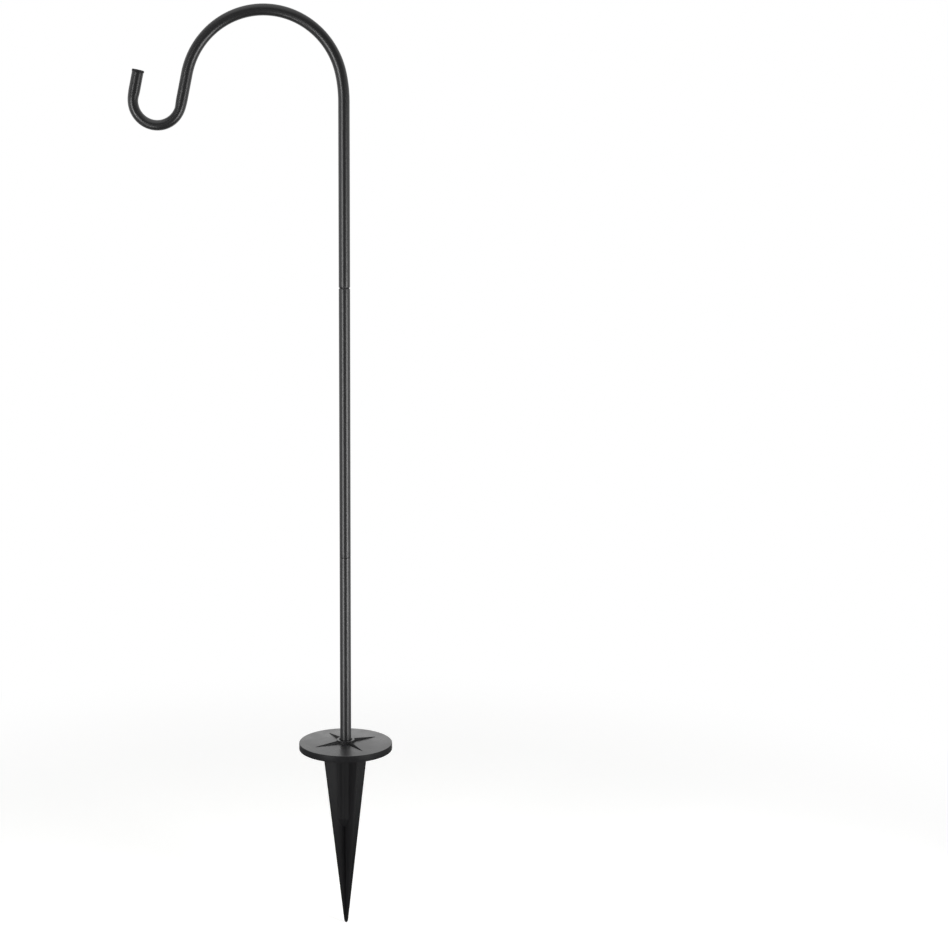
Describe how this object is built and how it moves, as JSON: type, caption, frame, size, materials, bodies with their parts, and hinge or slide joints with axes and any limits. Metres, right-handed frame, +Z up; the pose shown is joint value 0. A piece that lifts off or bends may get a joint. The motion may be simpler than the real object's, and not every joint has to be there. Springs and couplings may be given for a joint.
{
  "type": "garden shepherd's hook",
  "caption": "Slim black garden hook of push-together steel tube with a round arch and an upturned cradle, standing in a moulded ground stake with a foot plate and tapering fins.",
  "frame": {"origin": "on the pole's axis at ground level, where the foot plate's rim rests on the soil", "axes": "+Z up along the pole, -X towards the hook, Y across the hook's plane"},
  "size_m": [0.2289, 0.0848, 0.8276],
  "materials": {
    "powder_coated_steel": "satin black powder coat",
    "black_oxide_steel": "oiled black oxide on turned steel",
    "black_polypropylene": "fine-grained semi-matt moulding",
    "black_plug_plastic": "smooth semi-matt moulding"
  },
  "bodies": {
    "stake": {"ground_stake": "black_polypropylene"},
    "lower_pole": {"lower_tube": "powder_coated_steel"},
    "lower_pin": {"lower_connector": "black_oxide_steel"},
    "middle_pole": {"middle_tube": "powder_coated_steel"},
    "upper_pin": {"upper_connector": "black_oxide_steel"},
    "hook": {"hook_tube": "powder_coated_steel", "tip_plug": "black_plug_plastic"}
  },
  "joints": [
    {"name": "pole_lift", "type": "slide", "parent": "stake", "child": "lower_pole", "axis": [0, 0, 1], "range_m": [0, 0.07]},
    {"name": "lower_seam_turn", "type": "hinge", "parent": "lower_pole", "child": "lower_pin", "pos_m": [0, 0, 0.1779], "axis": [0, 0, 1], "continuous": true},
    {"name": "middle_lift", "type": "slide", "parent": "lower_pin", "child": "middle_pole", "axis": [0, 0, 1], "range_m": [0, 0.03]},
    {"name": "upper_seam_turn", "type": "hinge", "parent": "middle_pole", "child": "upper_pin", "pos_m": [0, 0, 0.4183], "axis": [0, 0, 1], "continuous": true},
    {"name": "hook_lift", "type": "slide", "parent": "upper_pin", "child": "hook", "axis": [0, 0, 1], "range_m": [0, 0.03]}
  ]
}
